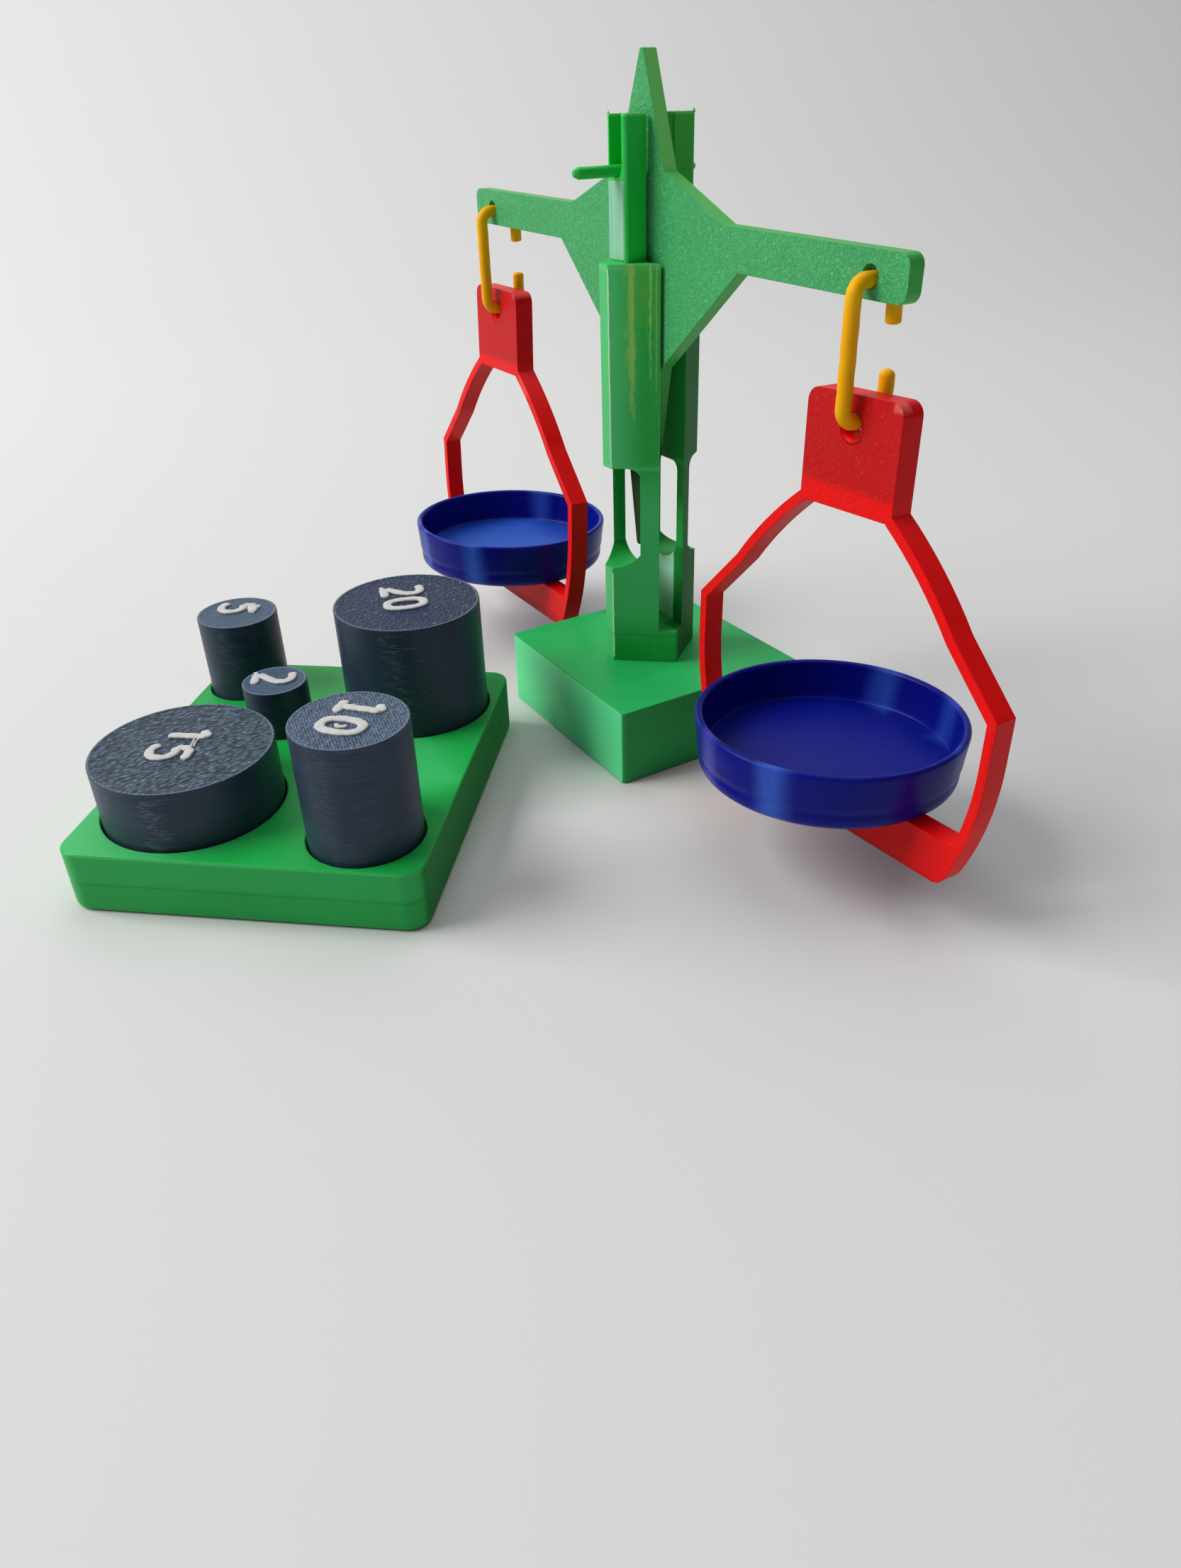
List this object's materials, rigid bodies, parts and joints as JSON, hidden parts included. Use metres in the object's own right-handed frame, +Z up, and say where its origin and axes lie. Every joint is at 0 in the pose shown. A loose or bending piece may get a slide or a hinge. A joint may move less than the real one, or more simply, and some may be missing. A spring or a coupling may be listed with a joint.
{
  "type": "balance scale",
  "caption": "Math balance scale: a pivoting beam on a split column, with pans hung from hooks and cylindrical weights in a pocketed tray",
  "frame": {"origin": "centre of the underside of the base block, on the table", "axes": "+Z up, +X along the beam to the right arm, +Y along the pivot pin to the back of the scale"},
  "size_m": [0.21, 0.1626, 0.1405],
  "materials": {
    "green_base": "fine print layers",
    "green_column": "satin print layers",
    "green_beam": "speckled top layer",
    "green_tray": "diagonal print lines on top",
    "yellow_hook": "satin",
    "red_hanger": "speckled top layer",
    "blue_pan": "satin print layers",
    "grey_weight": "horizontal print layers"
  },
  "bodies": {
    "stand": {"base": "green_base", "column": "green_column"},
    "pivot_pin": {"pivot_pin": "green_column"},
    "beam": {"beam": "green_beam"},
    "hook_left": {"hook_left": "yellow_hook"},
    "hook_right": {"hook_right": "yellow_hook"},
    "hanger_left": {"hanger_left": "red_hanger"},
    "hanger_right": {"hanger_right": "red_hanger"},
    "pan_left": {"pan_left": "blue_pan"},
    "pan_right": {"pan_right": "blue_pan"},
    "tray": {"weight_tray": "green_tray", "tray_floor": "green_tray"},
    "weight_2": {"weight_2": "grey_weight"},
    "weight_5": {"weight_5": "grey_weight"},
    "weight_10": {"weight_10": "grey_weight"},
    "weight_15": {"weight_15": "grey_weight"},
    "weight_20": {"weight_20": "grey_weight"}
  },
  "joints": [
    {"name": "pin_lift", "type": "slide", "parent": "stand", "child": "pivot_pin", "axis": [0, 0, 1], "range_m": [0, 0.012]},
    {"name": "beam_rock", "type": "hinge", "parent": "pivot_pin", "child": "beam", "pos_m": [0, -0.001, 0.1206], "axis": [0, 1, 0], "range_deg": [-8.5, 6.5]},
    {"name": "hook_left_swing", "type": "hinge", "parent": "beam", "child": "hook_left", "pos_m": [-0.06619, -0.001, 0.1096], "axis": [0, 1, 0], "range_deg": [-6.5, 8.5]},
    {"name": "hook_right_swing", "type": "hinge", "parent": "beam", "child": "hook_right", "pos_m": [0.06579, -0.001, 0.1073], "axis": [0, 1, 0], "range_deg": [-6.5, 8.5]},
    {"name": "hanger_left_swing", "type": "hinge", "parent": "hook_left", "child": "hanger_left", "pos_m": [-0.06619, -0.001, 0.0877], "axis": [0, 1, 0], "range_deg": [-0.5, 3.5]},
    {"name": "hanger_right_swing", "type": "hinge", "parent": "hook_right", "child": "hanger_right", "pos_m": [0.06579, -0.001, 0.0854], "axis": [0, 1, 0], "range_deg": [-3.4, 1.5]},
    {"name": "pan_left_lift", "type": "slide", "parent": "hanger_left", "child": "pan_left", "axis": [0.0052, 0.0349, 0.9994], "range_m": [0, 0.015]},
    {"name": "pan_right_lift", "type": "slide", "parent": "hanger_right", "child": "pan_right", "axis": [-0.0242, 0.0339, 0.9991], "range_m": [0, 0.015]},
    {"name": "tray_slide", "type": "slide", "parent": "stand", "child": "tray", "axis": [0, -1, 0], "range_m": [0, 0.04]},
    {"name": "weight_2_lift", "type": "slide", "parent": "tray", "child": "weight_2", "axis": [0, 0, 1], "range_m": [0, 0.03]},
    {"name": "weight_5_lift", "type": "slide", "parent": "tray", "child": "weight_5", "axis": [0, 0, 1], "range_m": [0, 0.03]},
    {"name": "weight_10_lift", "type": "slide", "parent": "tray", "child": "weight_10", "axis": [0, 0, 1], "range_m": [0, 0.03]},
    {"name": "weight_15_lift", "type": "slide", "parent": "tray", "child": "weight_15", "axis": [0, 0, 1], "range_m": [0, 0.03]},
    {"name": "weight_20_lift", "type": "slide", "parent": "tray", "child": "weight_20", "axis": [0, 0, 1], "range_m": [0, 0.03]}
  ],
  "couplings": [
    {"joint": "hook_left_swing", "follows": "beam_rock", "ratio": -1},
    {"joint": "hook_right_swing", "follows": "beam_rock", "ratio": -1}
  ]
}
